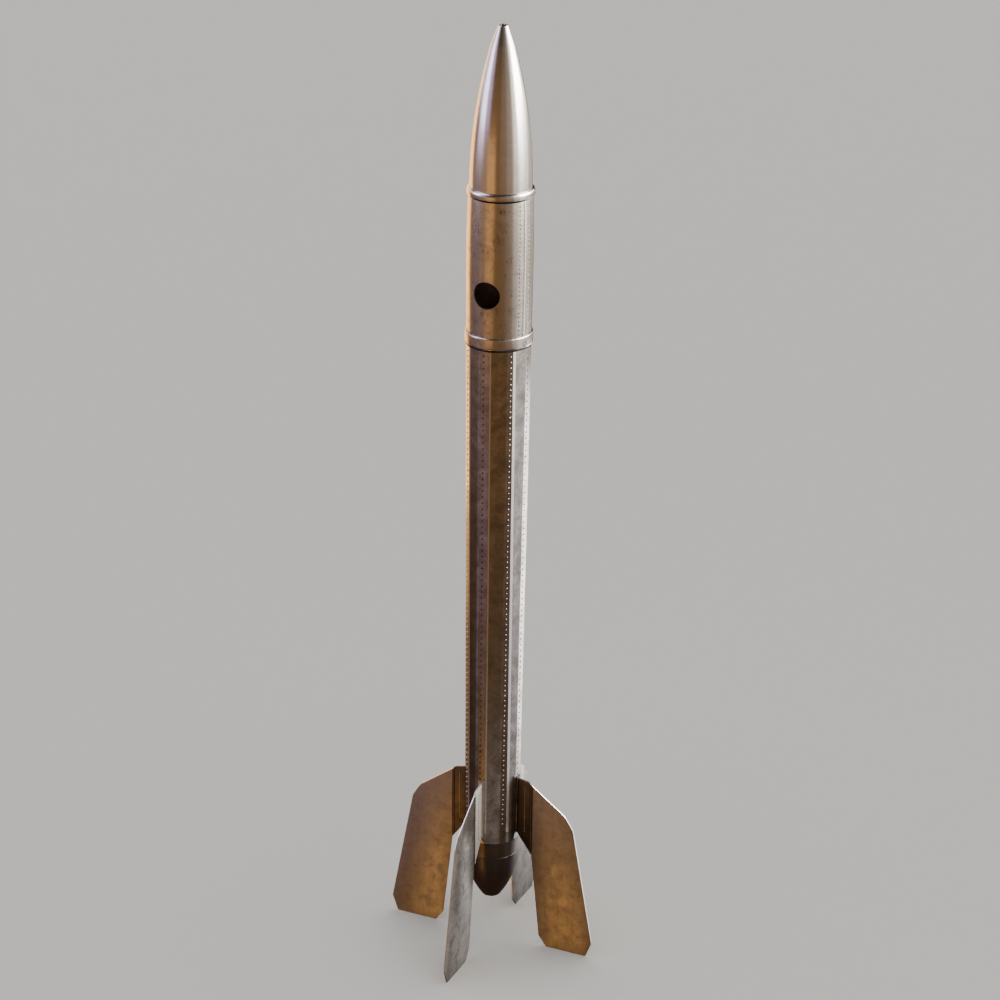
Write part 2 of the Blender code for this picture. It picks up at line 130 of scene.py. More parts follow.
# Columns: name, azimuths from the front fin in degrees, heights in metres, radiance, colour
BOX_DISTANCE = 6.0
soft_boxes = (
    ("white_key", (92.0, 142.0), (2.8, 9.0), 24.0, "#fffefa"),
    ("white_key_foot", (92.0, 118.0), (2.0, 2.8), 8.0, "#fffdf8"),
    ("white_key_back_foot", (118.0, 142.0), (2.0, 2.8), 3.5, "#fffcf6"),
    ("white_wing_front", (70.0, 92.0), (2.0, 9.0), 1.8, "#fffaf4"),
    ("white_wing_back", (142.0, 168.0), (2.2, 9.0), 3.0, "#fffcf6"),
    ("grey_front_right", (44.0, 70.0), (1.2, 9.0), 0.22, "#fbf7ff"),
    ("grey_front_edge", (20.0, 44.0), (1.2, 9.0), 0.08, "#f2f4ff"),
    ("grey_right_high", (70.0, 92.0), (1.1, 2.0), 1.15, "#fffbf6"),
    ("white_right_high", (92.0, 116.0), (1.1, 2.0), 2.7, "#fffcf7"),
    ("white_right_high_back", (116.0, 140.0), (1.1, 2.0), 1.8, "#fffcf7"),
    ("grey_back_high", (140.0, 184.0), (0.9, 2.2), 0.65, "#fff8f0"),
    ("grey_front_middle", (44.0, 70.0), (0.0, 1.2), 0.10, "#f4f4ff"),
    ("grey_right_bay", (70.0, 92.0), (-0.1, 1.1), 0.54, "#fffaf4"),
    ("white_right_bay", (92.0, 116.0), (-0.1, 1.1), 1.25, "#fffbf6"),
    ("grey_right_bay_back", (116.0, 140.0), (-0.1, 1.1), 0.90, "#fffbf6"),
    ("grey_back_bay", (140.0, 184.0), (0.0, 0.9), 0.42, "#fff8ee"),
    ("grey_right_belt", (88.0, 134.0), (-1.4, -0.1), 1.15, "#f4f7ff"),
    ("grey_right_low", (88.0, 134.0), (-2.75, -1.4), 0.74, "#f4f7ff"),
    ("grey_right_foot", (88.0, 134.0), (-4.5, -2.75), 0.25, "#f6f8ff"),
    ("white_back_belt", (138.0, 172.0), (-1.6, -0.2), 6.2, "#fbfcff"),
    ("white_back_low", (138.0, 172.0), (-2.5, -1.6), 4.6, "#fbfcff"),
    ("grey_back_foot", (132.0, 176.0), (-3.45, -2.5), 0.95, "#fdfdff"),
    ("grey_back_ground", (132.0, 176.0), (-5.0, -3.45), 0.45, "#fdfdff"),
    ("cream_left_top", (-150.0, -103.0), (2.2, 6.0), 3.0, "#ffdcba"),
    ("cream_left", (-150.0, -103.0), (-0.85, 2.2), 3.8, "#ffbc72"),
    ("cream_left_low", (-150.0, -102.0), (-1.5, -0.85), 1.2, "#ffbc76"),
    ("amber_left", (-150.0, -101.0), (-2.2, -1.5), 0.30, "#ffbe84"),
    ("amber_left_foot", (-150.0, -101.0), (-3.2, -2.2), 0.20, "#ffbe8c"),
    ("lavender_left", (-78.0, -50.0), (2.6, 16.0), 5.5, "#e2d8ff"),
    ("lavender_left_edge", (-99.0, -78.0), (2.6, 16.0), 1.5, "#efeaff"),
    ("lavender_left_wing", (-50.0, -28.0), (2.6, 16.0), 0.9, "#ddccff"),
    ("lavender_left_low", (-80.0, -48.0), (1.9, 2.6), 1.3, "#efe2ff"),
    ("purple_left_high", (-94.0, -48.0), (1.15, 1.9), 0.24, "#f4dcea"),
    ("purple_left", (-94.0, -48.0), (-0.6, 1.15), 0.09, "#eee0ff"),
    ("gold_left", (-48.0, -28.0), (0.3, 2.6), 0.26, "#ffd0a8"),
    ("gold_front", (-28.0, 2.0), (0.4, 2.6), 0.74, "#ffbe7c"),
    ("gold_front_low", (-28.0, 2.0), (0.0, 0.4), 0.46, "#ffbe7c"),
    ("purple_fold", (-58.0, -47.0), (-3.0, 0.1), 0.30, "#d4c6f0"),
    ("purple_front", (-47.0, -14.0), (-1.5, 0.0), 0.22, "#c9b4e8"),
    ("purple_front_low", (-47.0, -14.0), (-2.5, -1.5), 0.08, "#d8c4e0"),
    ("amber_front", (-30.0, -6.0), (-5.8, -2.92), 3.20, "#ffbb62"),
    ("grey_front_low", (50.0, 72.0), (-2.6, 0.0), 0.06, "#e4ecff"),
    ("grey_front_foot", (9.0, 56.0), (-3.0, -2.65), 0.30, "#eef2ff"),
    ("grey_front_ground", (9.0, 56.0), (-5.8, -3.0), 0.12, "#f4f5fa"),
)
for name, azimuths, heights, radiance, code in soft_boxes:
    soft_box(name, azimuths, BOX_DISTANCE, heights, radiance, code)

overhead = bpy.data.lights.new("overhead", "SUN")
overhead.energy = 3.2
overhead.angle = math.radians(70.0)
overhead_lamp = bpy.data.objects.new("overhead", overhead)
overhead_lamp.visible_glossy = False
bpy.context.scene.collection.objects.link(overhead_lamp)

world = bpy.data.worlds.new("studio_walls")
world.use_nodes = True
walls = world.node_tree
way = node(walls, "ShaderNodeTexCoord").outputs["Generated"]
rise = node(walls, "ShaderNodeSeparateXYZ", Vector=way).outputs["Z"]
rise = node(walls, "ShaderNodeMapRange", Value=rise, i1=-1.0, i2=1.0).outputs[0]
wall_tones = ((0.26, "#5e4b39"), (0.33, "#926e48"), (0.55, "#8a6a46"), (0.75, "#4c443c"))
stops = [(height, linear(code)) for height, code in wall_tones]
wall_tone = node(walls, "ShaderNodeValToRGB", {"stops": stops}, Fac=rise).outputs["Color"]
DARK_WALL_AZIMUTH = math.radians(206.0)
dark_way = tuple(from_front(DARK_WALL_AZIMUTH))
product = {"operation": "DOT_PRODUCT"}
facing = node(walls, "ShaderNodeVectorMath", product, i0=way, i1=dark_way).outputs["Value"]
facing = node(walls, "ShaderNodeMapRange", Value=facing, i1=-1.0, i2=1.0).outputs[0]
stops = ((0.0, grey(1.0)), (0.5, grey(0.6)), (0.85, grey(0.6)), (0.96, grey(0.05)))
shade = node(walls, "ShaderNodeValToRGB", {"stops": stops}, Fac=facing).outputs["Color"]
darken = {"data_type": "RGBA", "blend_type": "MULTIPLY"}
wall_tone = node(walls, "ShaderNodeMix", darken, i0=1.0, i6=wall_tone, i7=shade).outputs[2]
walls.links.new(wall_tone, walls.nodes["Background"].inputs["Color"])
bpy.context.scene.world = world

FLOOR_R = 34.0
FLOOR_CENTRE_R = 0.02
FLOOR_SIDES = 96
SWEEP_R = 8.0
SWEEP_STEPS = 12
WALL_TOP = 30.0
floor_profile = [(FLOOR_CENTRE_R, 0.0), (FLOOR_R, 0.0)]
for i in range(1, SWEEP_STEPS + 1):
    bend = math.radians(90.0 * i / SWEEP_STEPS)
    floor_profile.append((FLOOR_R + SWEEP_R * math.sin(bend), SWEEP_R * (1.0 - math.cos(bend))))
floor_profile.append((FLOOR_R + SWEEP_R, WALL_TOP))
floor_mesh = bmesh.new()
turns = [math.tau * i / FLOOR_SIDES for i in range(FLOOR_SIDES)]
rings = []
for radius, height in floor_profile:
    places = [(radius * math.cos(turned), radius * math.sin(turned), height) for turned in turns]
    rings.append([floor_mesh.verts.new(place_of) for place_of in places])
floor_mesh.faces.new(rings[0])
for lower, upper in zip(rings, rings[1:]):
    for i in range(FLOOR_SIDES):
        j = (i + 1) % FLOOR_SIDES
        floor_mesh.faces.new((lower[i], upper[i], upper[j], lower[j]))
floor_data = bpy.data.meshes.new("floor")
floor_mesh.to_mesh(floor_data)
floor_mesh.free()
floor_data.shade_smooth()
floor = bpy.data.objects.new("floor", floor_data)
floor.visible_glossy = False
floor.visible_shadow = False
bpy.context.scene.collection.objects.link(floor)
floor_paint = bpy.data.materials.new("matt_floor_paint")
floor_paint.use_nodes = True
floor_shader = floor_paint.node_tree.nodes["Principled BSDF"]
floor_shader.inputs["Base Color"].default_value = linear("#c9c7c3")
floor_shader.inputs["Roughness"].default_value = 0.9
floor_shader.inputs["Specular IOR Level"].default_value = 0.0
floor_data.materials.append(floor_paint)


# Nose. A spun aluminium ogive, blunt at the end, over a beaded ring of half-round bar.
# Handling has left it satin, with grey stains and fine scratches; it lifts off the bay.

# The sheet's marks, in repeats per metre: grey patches 45 mm across, bloom of 10 mm, pits
# 3 mm wide and rain streaks 14 mm wide and 450 mm long. Real scratches are 0.1 mm wide: the
# scuffs here are 3 mm by 20 mm, to show.
PATCHES_PER_M = 22.0
BLOOM_PER_M = 100.0
PITS_PER_M = 330.0
STREAKS_PER_M = (70.0, 70.0, 2.2)
SCUFFS_PER_M = (330.0, 330.0, 50.0)
SCUFF_SLANT = (0.6, 0.6, 0.0)


def worn_sheet(
    name, clean, stain, deep, rough=(0.24, 0.36),
    patch=0.5, speck=0.25, streak=0.3, scuff=0.15, metallic=1.0,
):
    """Bare sheet aluminium, mill finish, oxidised and handled; metallic is 0 where a coat hides it.

    Patches, bloom and rain streaks lie all over in the stain colour. Pits and scuffs are deeper
    in tone and keep to the worst patches.
    """
    material = bpy.data.materials.new(name)
    material.use_nodes = True
    tree = material.node_tree
    shader = tree.nodes["Principled BSDF"]
    spot = node(tree, "ShaderNodeTexCoord").outputs["Object"]
    down = node(tree, "ShaderNodeMapping", Vector=spot, Scale=STREAKS_PER_M).outputs["Vector"]
    slant = node(
        tree, "ShaderNodeMapping", Vector=spot, Rotation=SCUFF_SLANT, Scale=SCUFFS_PER_M
    ).outputs["Vector"]

    # Columns: texture, where it lies, scale, detail, roughness, distortion
    textures = {}
    for texture, place_of, scale, detail, rugged, wander in (
        ("broad", spot, PATCHES_PER_M, 6.0, 0.60, 0.5),
        ("bloom", spot, BLOOM_PER_M, 6.0, 0.62, 0.2),
        ("pits", spot, PITS_PER_M, 3.0, 0.60, 0.0),
        ("rain", down, 1.0, 5.0, 0.60, 0.0),
        ("rubbed", slant, 1.0, 3.0, 0.55, 0.0),
    ):
        textures[texture] = node(
            tree, "ShaderNodeTexNoise",
            Vector=place_of, Scale=scale, Detail=detail, Roughness=rugged, Distortion=wander,
        ).outputs["Fac"]

    # Columns: mask, its texture, the value where it starts, the value where it is full
    masks = {}
    for mask, texture, start, full in (
        ("patched", "broad", 0.36, 0.68),
        ("bloomed", "bloom", 0.36, 0.70),
        ("streaked", "rain", 0.40, 0.72),
        ("pitted", "pits", 0.58, 0.70),
        ("scuffed", "rubbed", 0.48, 0.68),
        ("worst", "broad", 0.50, 0.64),
    ):
        stops = {"stops": ((start, grey(0.0)), (full, grey(1.0)))}
        masks[mask] = node(tree, "ShaderNodeValToRGB", stops, Fac=textures[texture]).outputs["Color"]

    # Columns: mask, strength, colour, whether it keeps to the worst patches
    multiply = {"operation": "MULTIPLY"}
    blend = {"data_type": "RGBA"}
    tone = linear(clean)
    for mask, share, colour, in_worst in (
        ("patched", patch, stain, False),
        ("bloomed", 0.5 * patch, stain, False),
        ("streaked", streak, stain, False),
        ("pitted", speck, deep, True),
        ("scuffed", scuff, deep, True),
    ):
        where = masks[mask]
        if in_worst:
            where = node(tree, "ShaderNodeMath", multiply, i0=where, i1=masks["worst"]).outputs[0]
        where = node(tree, "ShaderNodeMath", multiply, i0=where, i1=share).outputs[0]
        tone = node(tree, "ShaderNodeMix", blend, i0=where, i6=tone, i7=linear(colour)).outputs[2]
    tree.links.new(tone, shader.inputs["Base Color"])

    add = {"operation": "ADD"}
    cloudy = node(tree, "ShaderNodeMath", add, i0=textures["broad"], i1=textures["bloom"]).outputs[0]
    polish = node(
        tree, "ShaderNodeMapRange", Value=cloudy, i1=0.8, i2=1.25, i3=rough[0], i4=rough[1]
    ).outputs[0]
    tree.links.new(polish, shader.inputs["Roughness"])
    bump = node(
        tree, "ShaderNodeBump", Strength=0.10, Distance=0.0003, Height=textures["bloom"]
    ).outputs["Normal"]
    tree.links.new(bump, shader.inputs["Normal"])
    shader.inputs["Metallic"].default_value = metallic
    return material


def piece(name, mesh, material, body, replaced=(), second=None):
    """Link a finished mesh, shade it smooth, tie it to its body, and hide the model's parts that it
    replaces.

    second is another material and a test of a face's centre that says where it goes.
    """
    obj = bpy.data.objects.new(name, mesh)
    bpy.context.scene.collection.objects.link(obj)
    mesh.materials.append(material)
    if second:
        mesh.materials.append(second[0])
        for face in mesh.polygons:
            face.material_index = int(second[1](face.center))
    mesh.shade_smooth()
    mesh.set_sharp_from_angle(angle=math.radians(32.0))
    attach(obj, body)
    if replaced:
        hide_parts(*replaced)


def solid(name, verts, faces):
    """A closed mesh from points and faces, its normals turned outward."""
    mesh = bpy.data.meshes.new(name)
    mesh.from_pydata([tuple(v) for v in verts], [], faces)
    work = bmesh.new()
    work.from_mesh(mesh)
    bmesh.ops.remove_doubles(work, verts=work.verts, dist=0.000005)
    bmesh.ops.recalc_face_normals(work, faces=work.faces)
    work.to_mesh(mesh)
    work.free()
    return mesh


def lathe(name, profile, segments=128):
    """A closed section turned about the axis: (radius, height) points, outside first, going down."""
    count = len(profile)
    verts = []
    faces = []
    for i in range(segments):
        angle = math.tau * i / segments
        for radius, height in profile:
            verts.append((radius * math.cos(angle), radius * math.sin(angle), height))
        j = (i + 1) % segments
        for k in range(count):
            m = (k + 1) % count
            faces.append((i * count + k, i * count + m, j * count + m, j * count + k))
    return solid(name, verts, faces)


def span(start, end, count):
    """Evenly spaced values from start to end."""
    return [start + (end - start) * i / (count - 1) for i in range(count)]


def arc(centre, radius, start, end, count):
    """Points of an arc in (radius, height), angles in degrees from the horizontal."""
    return [
        (centre[0] + radius * math.cos(math.radians(a)), centre[1] + radius * math.sin(math.radians(a)))
        for a in span(start, end, count)
    ]


NOSE_TOP_Z = 3.3490
NOSE_TIP_Z = 3.2870
NOSE_BASE_Z = 2.8175
NOSE_BASE_R = 0.1035
NOSE_LENGTH = 0.5940
NOSE_TIP_DRAW = 0.0800
NOSE_END_ROUND = 0.0050
NOSE_HOLE_R = 0.0100
NOSE_HOLE_EDGE = 0.0004
RING_SHOULDER_Z = 2.8060
RING_BOTTOM_Z = 2.7935
RING_R = 0.1122
RING_FOOT_ROUND = 0.0020
SHEET = 0.0016
GAP = 0.0003


def nose_radius(height):
    """Outer radius of the nose: a parabola, drawn in a little towards its blunt end."""
    drawn = NOSE_TIP_DRAW * max(0.0, height - NOSE_TIP_Z)
    return NOSE_BASE_R * (1.0 - ((height - NOSE_BASE_Z) / NOSE_LENGTH) ** 2) - drawn


# Spun, then rubbed by hand: the brightest sheet, with a soft sheen and faint clouds.
sheet_nose = worn_sheet(
    "spun_aluminium_nose", "#cdc8c2", "#aca59e", "#857e77",
    rough=(0.19, 0.24), patch=0.3, speck=0.4, streak=0.1,
)
cone_foot_z = RING_BOTTOM_Z + GAP
shoulder_z = NOSE_TOP_Z - NOSE_END_ROUND
outer = [(NOSE_HOLE_R + NOSE_HOLE_EDGE, NOSE_TOP_Z)]
outer += arc((nose_radius(shoulder_z) - NOSE_END_ROUND, shoulder_z), NOSE_END_ROUND, 90.0, 12.0, 9)
outer += [(nose_radius(z), z) for z in span(shoulder_z - 0.0005, NOSE_TIP_Z, 10)]
outer += [(nose_radius(z), z) for z in span(NOSE_TIP_Z - 0.008, NOSE_BASE_Z, 36)]
outer.append((NOSE_BASE_R, cone_foot_z))
inner = [(NOSE_BASE_R - SHEET, cone_foot_z)]
inner += [(nose_radius(z) - SHEET, z) for z in span(NOSE_BASE_Z, NOSE_TIP_Z, 16)]
inner += [(NOSE_HOLE_R, NOSE_TIP_Z), (NOSE_HOLE_R, NOSE_TOP_Z - NOSE_HOLE_EDGE)]
cone = lathe("nose_cone_skin", outer + inner)
piece("nose_cone_skin", cone, sheet_nose, "nose", ["nose_cone"])

bead_foot_r = NOSE_BASE_R + GAP
bead_rise = NOSE_BASE_Z - RING_SHOULDER_Z
bead = []
for degrees in span(90.0, 0.0, 13):
    reach = (RING_R - bead_foot_r) * math.cos(math.radians(degrees))
    bead.append((bead_foot_r + reach, RING_SHOULDER_Z + bead_rise * math.sin(math.radians(degrees))))
bead += arc((RING_R - RING_FOOT_ROUND, RING_BOTTOM_Z + RING_FOOT_ROUND), RING_FOOT_ROUND, 0.0, -90.0, 6)
bead.append((bead_foot_r, RING_BOTTOM_Z))
piece("nose_bead", lathe("nose_bead", bead), sheet_nose, "nose", ["nose_ring"])

PLUG_SINK = 0.0020
PLUG_EDGE = 0.0008
PLUG_DISH_R = 0.0055
plug_top = NOSE_TOP_Z - PLUG_SINK
plug_r = NOSE_HOLE_R - GAP
plug = [(0.0, plug_top - PLUG_EDGE), (PLUG_DISH_R, plug_top - PLUG_EDGE), (PLUG_DISH_R + 0.0007, plug_top)]
plug += [(plug_r - PLUG_EDGE, plug_top), (plug_r, plug_top - PLUG_EDGE)]
plug += [(plug_r, NOSE_TIP_Z), (0.0, NOSE_TIP_Z)]
# Soot baked on steel: almost black with a brown cast, and no bare metal shines through. On the nose's end
# plug the same black is painted shade, the dark of an open end.
soot_and_painted_shade = worn_sheet("sooted_steel_and_painted_shade", "#36221b", "#241812", "#16100c", rough=(0.28, 0.38), metallic=0.0)
# The plug's black is painted shade for the dark open end of the nose.
piece("nose_end_plug", lathe("nose_end_plug", plug, 48), soot_and_painted_shade, "nose", ["nose_plug"])

BAY_TOP_Z = 2.7890
BAY_TOP_R = 0.1071
SPIGOT_BOTTOM_Z = 2.7500
neck_r = NOSE_BASE_R - SHEET - GAP
rest_r = BAY_TOP_R - 0.0011
skirt_r = BAY_TOP_R - SHEET - 2.0 * GAP
spigot = [(neck_r, NOSE_BASE_Z), (neck_r, RING_BOTTOM_Z - GAP), (rest_r, RING_BOTTOM_Z - GAP)]
spigot += [(rest_r, BAY_TOP_Z + GAP), (skirt_r, BAY_TOP_Z + GAP), (skirt_r, SPIGOT_BOTTOM_Z + 0.0006)]
spigot += [(skirt_r - 0.0008, SPIGOT_BOTTOM_Z), (neck_r - SHEET, SPIGOT_BOTTOM_Z)]
spigot.append((neck_r - SHEET, NOSE_BASE_Z))
# Turned, and nearly black and dull as painted shade, so that the gap under the bead reads as a dark line.
spigot_shade_black = worn_sheet("spigot_painted_shade", "#1c1815", "#14110f", "#0e0c0b", rough=(0.55, 0.70))
turned_spigot = lathe("nose_spigot_turned", spigot)
piece("nose_spigot_turned", turned_spigot, spigot_shade_black, "nose", ["nose_spigot"])

# Bay. A rolled barrel of bare sheet with one riveted seam under a narrow cover strip, a dark
# band along the strip and round the rivets that is partly dirt and partly painted shade, and a
# round porthole pierced on the front fin's side, its edge turned inward and black as painted shade.
BAY_BELLY_Z = 2.6000
BAY_BELLY_R = 0.1109
BAY_BOTTOM_R = 0.1087
BAY_MOUTH_EDGE = 0.0008
JOINT_Z = 2.3000
COLLAR_TOP_Z = 2.3250
PORTHOLE_Z = 2.4720
PORTHOLE_R = 0.0470
PORTHOLE_SIDES = 72
DRILL_LENGTH = 0.1
DRILL_Y = -0.115


def bay_radius(height):
    """Outer radius of the barrel-shaped bay: a parabola on each side of its belly."""
    if height > BAY_BELLY_Z:
        share = (height - BAY_BELLY_Z) / (BAY_TOP_Z - BAY_BELLY_Z)
        return BAY_BELLY_R + (BAY_TOP_R - BAY_BELLY_R) * share ** 2
    share = (BAY_BELLY_Z - height) / (BAY_BELLY_Z - JOINT_Z)
    return BAY_BELLY_R + (BAY_BOTTOM_R - BAY_BELLY_R) * share ** 2


def cut_or_joined(mesh, others, operation):
    """A mesh cut by, or joined with, other meshes."""
    base = bpy.data.objects.new("base", mesh)
    bpy.context.scene.collection.objects.link(base)
    helpers = []
    for other in others:
        tool = bpy.data.objects.new("tool", other)
        bpy.context.scene.collection.objects.link(tool)
        modifier = base.modifiers.new("join", "BOOLEAN")
        modifier.operation = operation
        modifier.solver = "EXACT"
        modifier.object = tool
        helpers.append(tool)
    depsgraph = bpy.context.evaluated_depsgraph_get()
    result = bpy.data.meshes.new_from_object(base.evaluated_get(depsgraph))
    for used in [base] + helpers:
        bpy.data.objects.remove(used, do_unlink=True)
    return result


def inside_bay(place):
    """Whether a face's centre lies on the barrel's inner side."""
    return math.hypot(place.x, place.y) < bay_radius(place.z) - 0.6 * SHEET


bay_foot_z = JOINT_Z + GAP
skin_top_z = BAY_TOP_Z - 0.0012
outer = [(bay_radius(BAY_TOP_Z) - BAY_MOUTH_EDGE, skin_top_z)]
outer.append((bay_radius(BAY_TOP_Z), skin_top_z - BAY_MOUTH_EDGE))
outer += [(bay_radius(z), z) for z in span(BAY_TOP_Z - 0.004, bay_foot_z, 44)]
inner = [(bay_radius(z) - SHEET, z) for z in span(bay_foot_z, skin_top_z, 20)]
drill = bpy.data.meshes.new("drill")
work = bmesh.new()
bmesh.ops.create_cone(
    work, cap_ends=True, segments=PORTHOLE_SIDES, radius1=PORTHOLE_R, radius2=PORTHOLE_R, depth=DRILL_LENGTH
)
bmesh.ops.rotate(work, verts=work.verts, matrix=Matrix.Rotation(math.radians(90.0), 3, "X"))
bmesh.ops.translate(work, verts=work.verts, vec=(0.0, DRILL_Y, PORTHOLE_Z))
work.to_mesh(drill)
work.free()
barrel = cut_or_joined(lathe("bay_barrel", outer + inner, 144), [drill], "DIFFERENCE")
barrel.name = "bay_barrel"
# Rolled and long handled: duller than the nose, with dark pits and scuffs in patches.
sheet_bay = worn_sheet(
    "rolled_aluminium_bay", "#c8c3bb", "#a29b93", "#4c4641",
    rough=(0.21, 0.29), patch=0.5, speck=0.7, scuff=0.9,
)
# A flat black that hardly catches the light: painted shade, for the bay's floor, the porthole's sleeve, the
# joint gasket and the tail band's top, where shade falls in gaps.
shade_black = worn_sheet("black_painted_shade", "#1b1817", "#131111", "#0c0b0b", rough=(0.6, 0.8), metallic=0.0)
# Never rubbed on this side: pale, warm and dull, seen only through the porthole and the mouth.
bare_inside = worn_sheet("bare_sheet_inside", "#ddc8bc", "#c0aa9e", "#9a867c", rough=(0.45, 0.55))
piece("bay_barrel", barrel, sheet_bay, "airframe", ["bay_shell"], (bare_inside, inside_bay))
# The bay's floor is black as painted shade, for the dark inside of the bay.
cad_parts["bay_floor"].data.materials[0] = shade_black

SLEEVE_DEPTH = 0.0080
SLEEVE_SET_BACK = 0.0004
sleeve_r = PORTHOLE_R - 0.0002
verts = []
faces = []
for i in range(PORTHOLE_SIDES):
    angle = math.tau * i / PORTHOLE_SIDES
    z = PORTHOLE_Z + PORTHOLE_R * math.sin(angle)
    front = -math.sqrt((bay_radius(z) - SLEEVE_SET_BACK) ** 2 - (PORTHOLE_R * math.cos(angle)) ** 2)
    for radius, depth in (
        (sleeve_r, 0.0), (PORTHOLE_R - SHEET, 0.0),
        (PORTHOLE_R - SHEET, SLEEVE_DEPTH), (sleeve_r, SLEEVE_DEPTH),
    ):
        verts.append((radius * math.cos(angle), front + depth, PORTHOLE_Z + radius * math.sin(angle)))
    j = (i + 1) % PORTHOLE_SIDES
    for k in range(4):
        m = (k + 1) % 4
        faces.append((i * 4 + k, i * 4 + m, j * 4 + m, j * 4 + k))
# The sleeve's black is painted shade: the dark turned-in edge of the porthole.
piece("porthole_sleeve", solid("porthole_sleeve", verts, faces), shade_black, "airframe")


def turned_to(mesh, angle):
    """Turn a mesh made along +X to an angle round from the front fin."""
    mesh.transform(Matrix.Rotation(angle - math.radians(90.0), 4, "Z"))
    return mesh


BAY_SEAM_ANGLE = math.radians(72.5)
GRIME_AND_SHADE_HEIGHT = 0.0003
SEAM_SINK = 0.0002
# The strip's section: (across, proud) as shares of its width and height
strip_section = ((-0.5, 0.0), (-0.46, 0.7), (-0.3, 1.0), (0.3, 1.0), (0.46, 0.7), (0.5, 0.0))
strip_heights = span(BAY_TOP_Z - 0.0026, COLLAR_TOP_Z + 0.0010, 40)
# Edges that hands and cloths reach first: the brightest metal, with hardly a stain. It is also a painted
# highlight, brighter than wear alone, so that the edges show as light lines.
rubbed_and_highlight = worn_sheet("rubbed_edge_and_painted_highlight", "#f2efe9", "#dcd7cf", "#b2aca4", rough=(0.20, 0.28), patch=0.3)
# Old oil and dust packed into corners, and painted shade: it draws a dull dark line round what stands
# proud, where shade would fall.
grime_and_shade = worn_sheet("grime_and_painted_shade_in_corners", "#3c3530", "#2c2622", "#1e1a17", rough=(0.45, 0.60))
# Columns: name, width, height, material, node that it takes the place of
for name, width, height, material, replaced in (
    # The cover strip's brightness is partly a painted highlight.
    ("bay_seam_strip", 0.0076, 0.0018, rubbed_and_highlight, ["bay_seam"]),
    # The wider dark strip under the cover strip is painted shade along its sides, partly dirt.
    ("bay_seam_grime_and_shade", 0.0116, SEAM_SINK + GRIME_AND_SHADE_HEIGHT, grime_and_shade, []),
):
    count = len(strip_section)
    verts = []
    faces = []
    for row, z in enumerate(strip_heights):
        for across, proud in strip_section:
            verts.append((bay_radius(z) - SEAM_SINK + proud * height, across * width, z))
        if row:
            low = (row - 1) * count
            for j in range(count):
                k = (j + 1) % count
                faces.append((low + j, low + k, low + count + k, low + count + j))
    faces.append(tuple(range(count)))
    faces.append(tuple(len(verts) - count + j for j in range(count)))
    strip = turned_to(solid(name, verts, faces), BAY_SEAM_ANGLE)
    piece(name, strip, material, "airframe", replaced)


def rivets(name, spots, radius, height, material, body, sides=10):
    """Round-head rivets as one mesh: each spot is (place, outward direction)."""
    rings = ((1.0, -0.25), (1.0, 0.15), (0.86, 0.62), (0.5, 0.93))
    verts = []
    faces = []
    for place_of, direction in spots:
        lean = Vector(direction).to_track_quat("Z", "Y").to_matrix()
        start = len(verts)
        for share, rise in rings:
            for j in range(sides):
                angle = math.tau * j / sides
                local = Vector((
                    share * radius * math.cos(angle), share * radius * math.sin(angle), rise * height
                ))
                verts.append(Vector(place_of) + lean @ local)
        verts.append(Vector(place_of) + lean @ Vector((0.0, 0.0, height)))
        for ring in range(len(rings) - 1):
            for j in range(sides):
                k = (j + 1) % sides
                a, b = start + ring * sides, start + (ring + 1) * sides
                faces.append((a + j, a + k, b + k, b + j))
        last = start + (len(rings) - 1) * sides
        faces += [(last + j, last + (j + 1) % sides, len(verts) - 1) for j in range(sides)]
        faces.append(tuple(start + j for j in reversed(range(sides))))
    mesh = bpy.data.meshes.new(name)
    mesh.from_pydata([tuple(v) for v in verts], [], faces)
    piece(name, mesh, material, body)


BAY_RIVET_R = 0.0026
BAY_RIVET_HEIGHT = 0.0014
BAY_GRIME_AND_SHADE_REACH = 0.0018
BAY_ROW_TOP_Z = 2.7730
BAY_ROW_FOOT_Z = 2.3360
BAY_ROW_COUNT = 30
BAY_ROW_AZIMUTHS = (61.0, 69.5, 82.5)
# Flattened by the set: a little greyer than the sheet round them, with a small bright glint.
bay_rivet_metal = worn_sheet("flat_rivet_aluminium", "#bdb6ae", "#958e86", "#6f6861", rough=(0.16, 0.24))
spots = []
for degrees in BAY_ROW_AZIMUTHS:
    out_dir = from_front(math.radians(degrees))
    for z in span(BAY_ROW_TOP_Z, BAY_ROW_FOOT_Z, BAY_ROW_COUNT):
        radius = bay_radius(z) - SEAM_SINK
        spots.append(((out_dir.x * radius, out_dir.y * radius, z), out_dir))
rivets("bay_rivets", spots, BAY_RIVET_R, BAY_RIVET_HEIGHT, bay_rivet_metal, "airframe")
# The dark rings round the rivets are painted shade at their feet, partly dirt.
grime_and_shade_r = BAY_RIVET_R + BAY_GRIME_AND_SHADE_REACH
rivets("bay_rivet_grime_and_shade", spots, grime_and_shade_r, 2.0 * GRIME_AND_SHADE_HEIGHT, grime_and_shade, "airframe")

